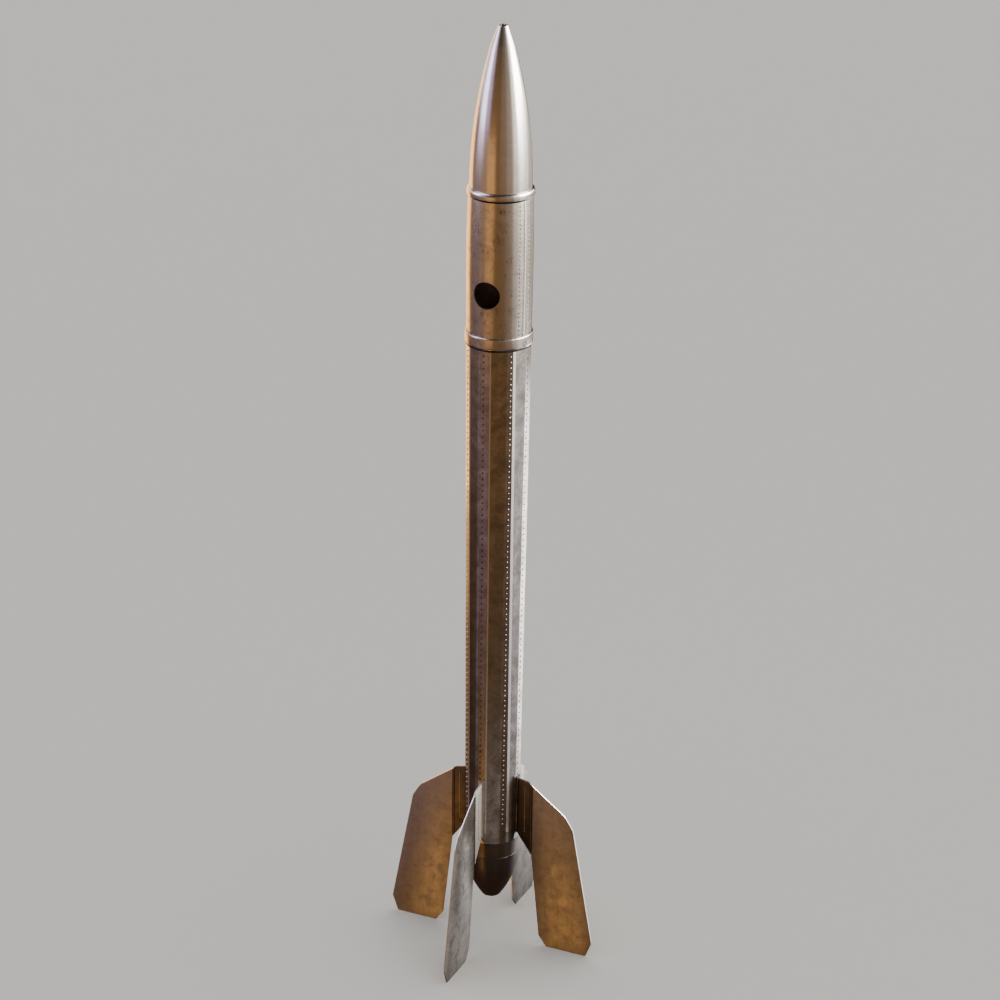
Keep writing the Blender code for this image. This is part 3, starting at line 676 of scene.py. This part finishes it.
# Joint collar. A spun sleeve with a rolled top, screwed over the joint between the bay and
# the body. Each screw stands on a bright seat, partly a painted highlight, in a ring of grime
# and painted shade; the black gasket between the two pieces is painted shade, which shows as
# a dark line under the collar's lower edge.
COLLAR_BOTTOM_Z = 2.2858
COLLAR_R = 0.1143
COLLAR_EDGE_R = 0.1139
COLLAR_ROLL_R = 0.0050
GASKET_OUTER_R = 0.1060
GASKET_INNER_R = 0.1040
GASKET_BOTTOM_Z = 2.2650
bay_grip_r = BAY_BOTTOM_R + 0.0016
body_grip_r = 0.1130
roll_z = COLLAR_TOP_Z - COLLAR_ROLL_R
collar = arc((COLLAR_R - COLLAR_ROLL_R, roll_z), COLLAR_ROLL_R, 78.0, 0.0, 9)
collar += [(COLLAR_R, 2.3080), (COLLAR_R, COLLAR_BOTTOM_Z + 0.0060)]
collar += [(COLLAR_EDGE_R + 0.0002, COLLAR_BOTTOM_Z + 0.0010), (COLLAR_EDGE_R - 0.0002, COLLAR_BOTTOM_Z)]
collar += [(body_grip_r, COLLAR_BOTTOM_Z), (body_grip_r, JOINT_Z), (bay_grip_r - 2.0 * GAP, JOINT_Z)]
collar.append((bay_grip_r - GAP, COLLAR_TOP_Z - 0.0006))
sleeve = lathe("collar_sleeve", collar, 144)
piece("collar_sleeve", sleeve, sheet_bay, "airframe", ["joint_collar"])
# The gasket's black is painted shade: the dark line under the collar's lower edge.
gasket = [(GASKET_OUTER_R, JOINT_Z - 0.0010), (GASKET_OUTER_R, GASKET_BOTTOM_Z)]
gasket += [(GASKET_INNER_R, GASKET_BOTTOM_Z), (GASKET_INNER_R, JOINT_Z - 0.0010)]
piece("joint_gasket", lathe("joint_gasket", gasket), shade_black, "airframe")

SCREW_Z = 2.2985
SCREW_SIDES = 24
SCREW_R = 0.0040
SCREW_SEAT_R = 0.0066
SCREW_SEAT_HEIGHT = 0.0006
SCREW_RIM_R = 0.0088
PIN_R = 0.0024
PIN_HEIGHT = 0.0010
PIN_FROM_SCREW = 0.0045
# Dark and dull, without the shine of bare metal: painted shade, the dark dot of the screw's recess.
screw_head_shade_black = worn_sheet(
    "screw_head_painted_shade", "#2a2622", "#201d1a", "#171513", rough=(0.4, 0.55), metallic=0.0
)
head = [(0.0, 0.0008), (0.0024, 0.0011), (0.0036, 0.0007)]
head += [(SCREW_R, -0.0002), (SCREW_R, -0.0010), (0.0, -0.0010)]
for label, degrees in (("right", 73.4), ("left", 253.4)):
    out_dir = from_front(math.radians(degrees))
    lean = out_dir.to_track_quat("Z", "Y").to_matrix().to_4x4()
    seat = Matrix.Translation(out_dir * COLLAR_R + Vector((0.0, 0.0, SCREW_Z))) @ lean
    name = "collar_screw_head_" + label
    mesh = lathe(name, head, SCREW_SIDES)
    mesh.transform(seat)
    # The head's black is painted shade for the screw's recess.
    piece(name, mesh, screw_head_shade_black, "airframe", ["collar_screw_" + label])
    foot = out_dir * (COLLAR_R - 0.0001)
    pins = [(foot + Vector((0.0, 0.0, SCREW_Z + side * PIN_FROM_SCREW)), out_dir) for side in (-1, 1)]
    rivets("collar_screw_pins_" + label, pins, PIN_R, PIN_HEIGHT, soot_and_painted_shade, "airframe")
    rim = [(foot + Vector((0.0, 0.0, SCREW_Z)), out_dir)]
    # The dark ring round the screw is painted shade, partly dirt.
    rivets(
        "collar_screw_rim_" + label, rim, SCREW_RIM_R, GRIME_AND_SHADE_HEIGHT, grime_and_shade,
        "airframe", SCREW_SIDES,
    )
    # The bright seat round the screw is a painted highlight.
    rivets(
        "collar_screw_seat_" + label, rim, SCREW_SEAT_R, SCREW_SEAT_HEIGHT, rubbed_and_highlight,
        "airframe", SCREW_SIDES,
    )

# Body. Eight long panels of sheet, each folded along one side into a narrow lap that lies
# on the next panel and is held by one row of round-head rivets. It tapers to the tail. Laps
# 1, 3 and 5, counted from the front fin towards the right one, widen downward.
WIDENING_LAPS = (1, 3, 5)
WIDEN_FROM_Z = 2.25
BODY_BOTTOM_Z = 0.4203
BODY_TOP_Z = JOINT_Z - GAP
SHEET_TOP_Z = 2.2778
BODY_BOTTOM_R = 0.0967
BODY_TOP_R = 0.1108
LAP = 0.0016
CROWN = 0.0010
PANEL_STEP = math.radians(45.0)
LAP_HALF = math.radians(8.5)
ROUND_FOOT_R = 0.0958
ROUND_FROM_Z = 0.5150
ROUND_TO_Z = 0.4650


def body_radius(height):
    """Corner radius of the tapered body."""
    share = (height - BODY_BOTTOM_Z) / (BODY_TOP_Z - BODY_BOTTOM_Z)
    return BODY_BOTTOM_R + (BODY_TOP_R - BODY_BOTTOM_R) * share


def polar(radius, angle):
    """A point of the body's section, with the lap's middle along x."""
    return Vector((radius * math.cos(angle), radius * math.sin(angle)))


def bent(before, corner, after, steps):
    """A soft fold through a corner: a parabola that touches the faces on both sides."""
    return [
        before * (1.0 - t) ** 2 + corner * 2.0 * t * (1.0 - t) + after * t ** 2
        for t in span(0.0, 1.0, steps)
    ]


def lap_angles(index, height):
    """A lap's fold, crest and free edge from its middle; some of those between fins widen downward."""
    if index % 8 not in WIDENING_LAPS:
        return math.radians(-9.3), math.radians(8.9), math.radians(11.6)
    below_top = WIDEN_FROM_Z - height
    return math.radians(-6.3), math.radians(4.7 + 2.95 * below_top), math.radians(10.4 + 3.3 * below_top)


def lap_face(index, height, angle):
    """A point of a lap's face and the face's normal, in the section's own plane."""
    fold_at, crest_at, _ = lap_angles(index, height)
    fold = polar(body_radius(height), fold_at)
    crest = polar(body_radius(height) + LAP, crest_at)
    along = crest - fold
    return fold + along * (angle - fold_at) / (crest_at - fold_at), Vector((along.y, -along.x)).normalized()


def panel_section(index, height):
    """Outer line of one folded panel, from its flat's start to its lap's free edge."""
    radius = body_radius(height)
    fold_at, crest_at, edge_at = lap_angles(index, height)
    flat_start = polar(radius, lap_angles(index - 1, height)[2] - PANEL_STEP + GAP / radius)
    fold = polar(radius, fold_at)
    crest = polar(radius + LAP, crest_at)
    free_edge = polar(radius, edge_at)
    across_flat = fold - flat_start
    flat_out = Vector((across_flat.y, -across_flat.x)).normalized()
    line = [
        flat_start + across_flat * t + flat_out * CROWN * (1.0 - (2.0 * t - 1.0) ** 2)
        for t in span(0.0, 0.90, 10)
    ]
    line += bent(line[-1], fold, fold.lerp(crest, 0.28), 8)[1:]
    line += [fold.lerp(crest, t) for t in (0.5, 0.75, 0.93)]
    line += bent(fold.lerp(crest, 0.97), crest, crest.lerp(free_edge, 0.16), 4)
    line += [crest.lerp(free_edge, t) for t in (0.5, 0.9)] + [free_edge]
    lowered = min(1.0, max(0.0, (ROUND_FROM_Z - height) / (ROUND_FROM_Z - ROUND_TO_Z)))
    for i, point in enumerate(line):
        from_fin = math.degrees(index * PANEL_STEP + math.atan2(point.y, point.x)) % 90.0
        between = min(1.0, max(0.0, (min(from_fin, 90.0 - from_fin) - 12.0) / 12.0))
        line[i] = point * (1.0 + (ROUND_FOOT_R / point.length - 1.0) * lowered * between)
    return line


def panel_mesh(name, index):
    """One folded panel, its lap centred on its own step round from the front fin."""
    middle = index * PANEL_STEP
    across = Vector((-from_front(middle).y, from_front(middle).x, 0.0))
    count = len(panel_section(index, BODY_BOTTOM_Z))
    heights = span(BODY_BOTTOM_Z, SHEET_TOP_Z, 90)
    verts = []
    for z in heights:
        line = panel_section(index, z)
        for thickness in (0.0, SHEET):
            points = line if thickness == 0.0 else list(reversed(line))
            for point in points:
                out = point * (1.0 - thickness / point.length)
                spot = from_front(middle) * out.x + across * out.y
                sway = 0.00025 * noise.noise(Vector((spot.x * 12.0, spot.y * 12.0, z * 5.0)))
                spot += spot.normalized() * sway
                verts.append((spot.x, spot.y, z))
    around = 2 * count
    faces = []
    for i in range(len(heights) - 1):
        for j in range(around):
            k = (j + 1) % around
            faces.append((i * around + j, i * around + k, (i + 1) * around + k, (i + 1) * around + j))
    for base in (0, (len(heights) - 1) * around):
        for j in range(count - 1):
            faces.append((base + j, base + j + 1, base + around - 2 - j, base + around - 1 - j))
    return solid(name, verts, faces)


def on_edge_slope(place):
    """Whether a face's centre lies on the slope from a lap's crest to its free edge."""
    turned = math.atan2(place.x, -place.y)
    index = round(turned / PANEL_STEP)
    _, crest_at, edge_at = lap_angles(index, place.z)
    return crest_at < turned - index * PANEL_STEP < edge_at and place.z > ROUND_TO_Z


FIN_TOP_Z = 0.6600
ROW_TOP_Z = 2.2620
HEAD_RISE = 0.75
GRIME_AND_SHADE_REACH = 0.0013
# Folded cold from mill sheet: bright between broad grey stains that rain has drawn downward.
sheet_body = worn_sheet(
    "folded_aluminium_body", "#c8c4be", "#847d76", "#5c5650",
    rough=(0.15, 0.24), patch=0.85, streak=0.35,
)
# Set to a smooth dome: each head holds one sharp point of light.
rivet_metal = worn_sheet("headed_rivet_aluminium", "#f4f1ec", "#dad5ce", "#b0aaa3", rough=(0.12, 0.18))
# The rows over the fins have dulled to a dark grey, and their heads are smaller.
tarnished = worn_sheet("tarnished_rivet_aluminium", "#6e6760", "#544d47", "#3b3631", rough=(0.18, 0.26))
# Columns: pitch, foot of the row, degrees from the lap's middle, head's radius, reach of the grime and
# painted shade ring, metal
row_over_fin = (0.0220, FIN_TOP_Z + 0.018, -3.0, 0.0028, 0.0009, tarnished)
row_between_fins = (0.0195, 0.5000, 0.4, 0.0034, GRIME_AND_SHADE_REACH, rivet_metal)
for index in range(8):
    middle = index * PANEL_STEP
    name = "body_sheet_%d" % index
    # The slope from each lap's crest to its free edge takes the bright edge metal: partly wear, partly a
    # painted highlight line.
    piece(
        name, panel_mesh(name, index), sheet_body, "airframe", ["body_panel_%d" % index],
        (rubbed_and_highlight, on_edge_slope),
    )
    pitch, row_foot_z, degrees, radius, reach, metal = row_between_fins if index % 2 else row_over_fin
    across = Vector((-from_front(middle).y, from_front(middle).x, 0.0))
    spots = []
    for z in span(ROW_TOP_Z, row_foot_z, int((ROW_TOP_Z - row_foot_z) / pitch) + 1):
        point, normal = lap_face(index, z, math.radians(degrees))
        spot = from_front(middle) * point.x + across * point.y + Vector((0.0, 0.0, z))
        spots.append((spot, from_front(middle) * normal.x + across * normal.y))
    rivets("body_rivets_%d" % index, spots, radius, HEAD_RISE * radius, metal, "airframe")
    # The dark rings round the heads are painted shade at their feet, partly dirt.
    rivets(
        "body_rivet_grime_%d" % index, spots, radius + reach, GRIME_AND_SHADE_HEIGHT, grime_and_shade,
        "airframe",
    )

# Tail. A plain rolled band, darkened by smoke, closes the body, and below it a spun steel
# cone, browned and sooted by the motor, draws in to the nozzle.
TAIL_R = 0.0940
TAIL_CURVE_LENGTH = 0.2280
TAIL_CURVE_POWER = 2.2
TAIL_WALL = 0.0030
BAND_TOP_Z = 0.4168
BAND_BOTTOM_Z = 0.3593
BAND_LIP_TOP_Z = 0.4400
BAND_LIP_R = 0.0924
TAIL_END_Z = 0.1710


def tail_radius(height):
    """Outer radius of the rounded tail cone."""
    return TAIL_R * (1.0 - ((BAND_BOTTOM_Z - height) / TAIL_CURVE_LENGTH) ** TAIL_CURVE_POWER)


band_foot_z = BAND_BOTTOM_Z + GAP
band = [(BAND_LIP_R, BAND_LIP_TOP_Z), (BAND_LIP_R, BAND_TOP_Z), (TAIL_R + 0.0004, BAND_TOP_Z)]
band += [(TAIL_R + 0.0010, BAND_TOP_Z - 0.0006), (TAIL_R, band_foot_z + 0.0008)]
band += [(TAIL_R - 0.0008, band_foot_z)]
band += [(BAND_LIP_R - TAIL_WALL, band_foot_z), (BAND_LIP_R - TAIL_WALL, BAND_LIP_TOP_Z)]
# Smoke has browned the sheet; it still shines, but as through a dark glass.
smoked = worn_sheet("smoked_tail_band", "#6c635b", "#4a423b", "#2e2823", rough=(0.34, 0.46))
# The band's top and its lip under the body are black as painted shade, the dark line at the seam.
piece(
    "tail_band_rolled", lathe("tail_band_rolled", band), smoked, "airframe", ["tail_band"],
    (shade_black, lambda place: place.z > BAND_TOP_Z - 0.0004),
)

outer = [(TAIL_R - 0.0008, BAND_BOTTOM_Z), (TAIL_R - 0.0001, BAND_BOTTOM_Z - 0.0008)]
outer += [(tail_radius(z), z) for z in span(BAND_BOTTOM_Z - 0.004, TAIL_END_Z + 0.001, 30)]
outer.append((tail_radius(TAIL_END_Z) - 0.0006, TAIL_END_Z))
inner = [(tail_radius(z) - TAIL_WALL, z) for z in span(TAIL_END_Z, BAND_BOTTOM_Z, 16)]
tail = lathe("tail_cone_spun", outer + inner)
piece("tail_cone_spun", tail, soot_and_painted_shade, "airframe", ["tail_cone"])
for name in ("nozzle", "motor"):
    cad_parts[name].data.materials[0] = soot_and_painted_shade

# Fins. Four blades of 5 mm plate with dressed edges, each riveted into a folded bracket
# that stands on one lap of the body; a hem runs down the seam between them, with a line of
# dark sealant along each side. The pieces have weathered apart, so their metals differ; the
# rear blade is darker still as painted shade, and the bright rims are partly a painted highlight.
FIN_SEAM_R = 0.1545
FIN_FOOT_Z = 0.4435
BLADE_THICKNESS = 0.0050
BLADE_EDGE = 0.0012
WEB_THICKNESS = 0.0090
HEM_THICKNESS = 0.0110
FLANGE_WIDTH = 0.0240
SEALANT_EDGE = 0.0002


def rounded(outline, steps=6):
    """Replace each corner of an (x, y, radius) outline by an arc."""
    points = []
    count = len(outline)
    for i, (x, y, radius) in enumerate(outline):
        corner = Vector((x, y))
        before = (Vector(outline[i - 1][:2]) - corner).normalized()
        after = (Vector(outline[(i + 1) % count][:2]) - corner).normalized()
        if radius == 0.0:
            points.append(corner)
            continue
        half = before.angle(after) / 2.0
        centre = corner + (before + after).normalized() * radius / math.sin(half)
        start = corner + before * radius / math.tan(half) - centre
        sweep = math.pi - 2.0 * half
        sense = 1.0 if before.cross(after) < 0.0 else -1.0
        for step in range(steps + 1):
            spin = Matrix.Rotation(sense * sweep * step / steps, 2)
            points.append(centre + spin @ start)
    return points


def plate(name, points, thickness, edge, segments=2):
    """A flat plate standing on edge along +X, its rim rounded over."""
    work = bmesh.new()
    verts = [work.verts.new((p[0], -thickness / 2.0, p[1])) for p in points]
    face = work.faces.new(verts)
    lifted = bmesh.ops.extrude_face_region(work, geom=[face])
    moved = [item for item in lifted["geom"] if isinstance(item, bmesh.types.BMVert)]
    bmesh.ops.translate(work, verts=moved, vec=(0.0, thickness, 0.0))
    bmesh.ops.recalc_face_normals(work, faces=work.faces)
    rims = [e for e in work.edges if abs(e.verts[0].co.y - e.verts[1].co.y) < 0.00001]
    bmesh.ops.bevel(work, geom=rims, offset=edge, segments=segments, profile=0.5, affect="EDGES")
    mesh = bpy.data.meshes.new(name)
    work.to_mesh(mesh)
    work.free()
    return mesh


blade_outline = (
    (FIN_SEAM_R + GAP, 0.6400, 0.0),
    (0.2835, 0.5460, 0.045),
    (0.3140, 0.4970, 0.045),
    (0.3960, 0.0590, 0.012),
    (0.3740, 0.0000, 0.008),
    (0.2205, 0.0000, 0.004),
    (0.1898, 0.0390, 0.008),
    (FIN_SEAM_R + GAP, 0.3635, 0.0),
)


def seat_radius(height):
    """Distance from the axis of a bracket's foot."""
    return (body_radius(height) + LAP) * math.cos(LAP_HALF) + GAP


web_outline = (
    (seat_radius(FIN_TOP_Z), FIN_TOP_Z, 0.0),
    (FIN_SEAM_R - 0.0080, 0.6500, 0.020),
    (FIN_SEAM_R, 0.6410, 0.0),
    (FIN_SEAM_R, 0.3635, 0.0),
    (0.1200, 0.4110, 0.0),
    (seat_radius(FIN_FOOT_Z), FIN_FOOT_Z, 0.0),
)
hem_outline = (
    (FIN_SEAM_R - 0.0060, 0.6360), (FIN_SEAM_R - 0.0002, 0.6360),
    (FIN_SEAM_R - 0.0002, 0.3655), (FIN_SEAM_R - 0.0060, 0.3735),
)
flange_top = FIN_TOP_Z + 0.0080
flange_outline = (
    (seat_radius(flange_top), flange_top), (seat_radius(flange_top) + SHEET, flange_top),
    (seat_radius(FIN_FOOT_Z) + SHEET, FIN_FOOT_Z), (seat_radius(FIN_FOOT_Z), FIN_FOOT_Z),
)
# Columns: inner edge, outer edge, thickness
sealant_lines = (
    (FIN_SEAM_R - 0.0084, FIN_SEAM_R - 0.0058, 0.0096),
    (FIN_SEAM_R + GAP, FIN_SEAM_R + 0.0028, 0.0056),
)
BRACKET_RIVET_R = 0.0023
BRACKET_RIVET_HEIGHT = 0.0014
BRACKET_ROW_R = 0.1275
BRACKET_ROW_TOP_Z = 0.6280
BRACKET_ROW_FOOT_Z = 0.4530
BRACKET_ROW_COUNT = 15
# Rolled plate: a dull even grey that spreads the light wide.
fin_plate = worn_sheet(
    "rolled_fin_plate", "#a8a29b", "#8b857e", "#5c5650",
    rough=(0.42, 0.56), patch=0.55, speck=0.3, scuff=0.3,
)
# The same plate, corroded: bright metal left between dark blotches and pits.
fin_plate_corroded = worn_sheet(
    "corroded_fin_plate", "#b8b2ab", "#5f5953", "#3a3531",
    rough=(0.28, 0.48), patch=0.85, speck=0.8, scuff=0.6,
)
# The corroded plate again, darker: its blotches and pits are the plate's own, its overall darkness painted
# shade for the rear blade.
fin_plate_corroded_shaded = worn_sheet(
    "corroded_fin_plate_painted_shade", "#98928b", "#4e4843", "#2e2a27",
    rough=(0.28, 0.48), patch=0.85, speck=0.8, scuff=0.6,
)
# Folded sheet gone dark with age, with a weak broad shine.
fin_bracket = worn_sheet("folded_fin_bracket", "#6a625b", "#4c4640", "#332f2b", rough=(0.36, 0.54))
# Etched pale and matt, so that it looks much the same from every side.
fin_bracket_etched = worn_sheet("etched_fin_bracket", "#cfcac3", "#a39d96", "#6f6861", rough=(0.58, 0.68))
# The rear blade takes the darker copy, as painted shade.
blade_metals = {
    "front": fin_plate_corroded, "right": fin_plate, "rear": fin_plate_corroded_shaded, "left": fin_plate,
}
bracket_metals = {
    "front": fin_bracket_etched, "right": fin_bracket, "rear": fin_bracket_etched, "left": fin_bracket,
}
for label, degrees in (("front", 0.0), ("right", 90.0), ("rear", 180.0), ("left", 270.0)):
    angle = math.radians(degrees)
    out_dir = from_front(angle)
    side_dir = Vector((-out_dir.y, out_dir.x, 0.0))
    blade = plate("blade_" + label, rounded(blade_outline), BLADE_THICKNESS, BLADE_EDGE)
    # The blades' rims take the bright edge metal: partly wear, partly a painted highlight.
    piece(
        "blade_" + label, turned_to(blade, angle), blade_metals[label], "airframe",
        ["fin_blade_" + label], (rubbed_and_highlight, lambda place: abs(place.dot(side_dir)) < 0.0018),
    )
    for near, far, thickness in sealant_lines:
        outline = [Vector(p) for p in ((near, 0.6340), (far, 0.6340), (far, 0.3720), (near, 0.3780))]
        name = "hem_sealant_%s_%d" % (label, round(1000.0 * thickness))
        line = turned_to(plate(name, outline, thickness, SEALANT_EDGE), angle)
        piece(name, line, grime_and_shade, "airframe")
    web = plate("web", rounded(web_outline), WEB_THICKNESS, 0.0022)
    hem = plate("hem", [Vector(p) for p in hem_outline], HEM_THICKNESS, 0.0006)
    flange = plate("flange", [Vector(p) for p in flange_outline], FLANGE_WIDTH, 0.0004)
    bracket = cut_or_joined(web, [hem, flange], "UNION")
    bracket.name = "bracket_" + label
    piece(
        "bracket_" + label, turned_to(bracket, angle), bracket_metals[label], "airframe",
        ["fin_bracket_" + label], (sheet_body, lambda place: abs(place.dot(side_dir)) > 0.0060),
    )
    spots = []
    for side in (-1.0, 1.0):
        for z in span(BRACKET_ROW_TOP_Z, BRACKET_ROW_FOOT_Z, BRACKET_ROW_COUNT):
            spot = out_dir * BRACKET_ROW_R + side_dir * side * WEB_THICKNESS / 2.0 + Vector((0.0, 0.0, z))
            spots.append((spot, side_dir * side))
    rivets(
        "bracket_rivets_" + label, spots, BRACKET_RIVET_R, BRACKET_RIVET_HEIGHT, rivet_metal,
        "airframe",
    )
    # The dark rings round the heads are painted shade at their feet, partly dirt.
    rivets(
        "bracket_rivet_grime_and_shade_" + label, spots, BRACKET_RIVET_R + GRIME_AND_SHADE_REACH, GRIME_AND_SHADE_HEIGHT, grime_and_shade,
        "airframe",
    )
